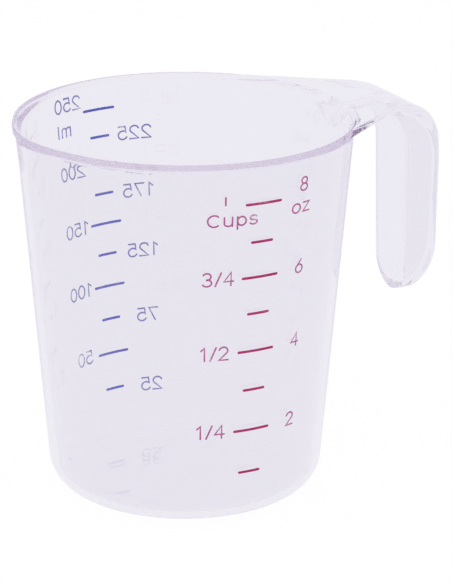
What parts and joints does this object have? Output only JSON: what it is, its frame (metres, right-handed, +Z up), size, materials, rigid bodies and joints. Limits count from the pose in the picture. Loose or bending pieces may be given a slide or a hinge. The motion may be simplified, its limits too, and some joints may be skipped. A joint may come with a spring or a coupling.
{
  "type": "measuring jug",
  "caption": "Small clear tapered measuring jug with a rolled rim, a slight pour lip, a hollow hook handle flowing out of the rim and coloured fill lines on both sides.",
  "frame": {"origin": "middle of the flat underside that the jug stands on", "axes": "+Z up along the jug's axis, +X towards the handle, so the pour lip is at -X; the ounce lines are on the -Y side and the millilitre lines on the +Y side"},
  "size_m": [0.1015, 0.076, 0.0856],
  "materials": {
    "clear_plastic": "clear, faintly lavender, polished",
    "red_foil": "crimson foil, slightly uneven",
    "blue_foil": "royal blue foil, slightly uneven"
  },
  "bodies": {
    "root": {"jug_body": "clear_plastic", "ounce_line_1": "red_foil", "ounce_line_2": "red_foil", "ounce_line_3": "red_foil", "ounce_line_4": "red_foil", "ounce_line_5": "red_foil", "ounce_line_6": "red_foil", "ounce_line_7": "red_foil", "ounce_line_8": "red_foil", "millilitre_line_25": "blue_foil", "millilitre_line_50": "blue_foil", "millilitre_line_75": "blue_foil", "millilitre_line_100": "blue_foil", "millilitre_line_125": "blue_foil", "millilitre_line_150": "blue_foil", "millilitre_line_175": "blue_foil", "millilitre_line_200": "blue_foil", "millilitre_line_225": "blue_foil", "millilitre_line_250": "blue_foil"}
  },
  "joints": []
}
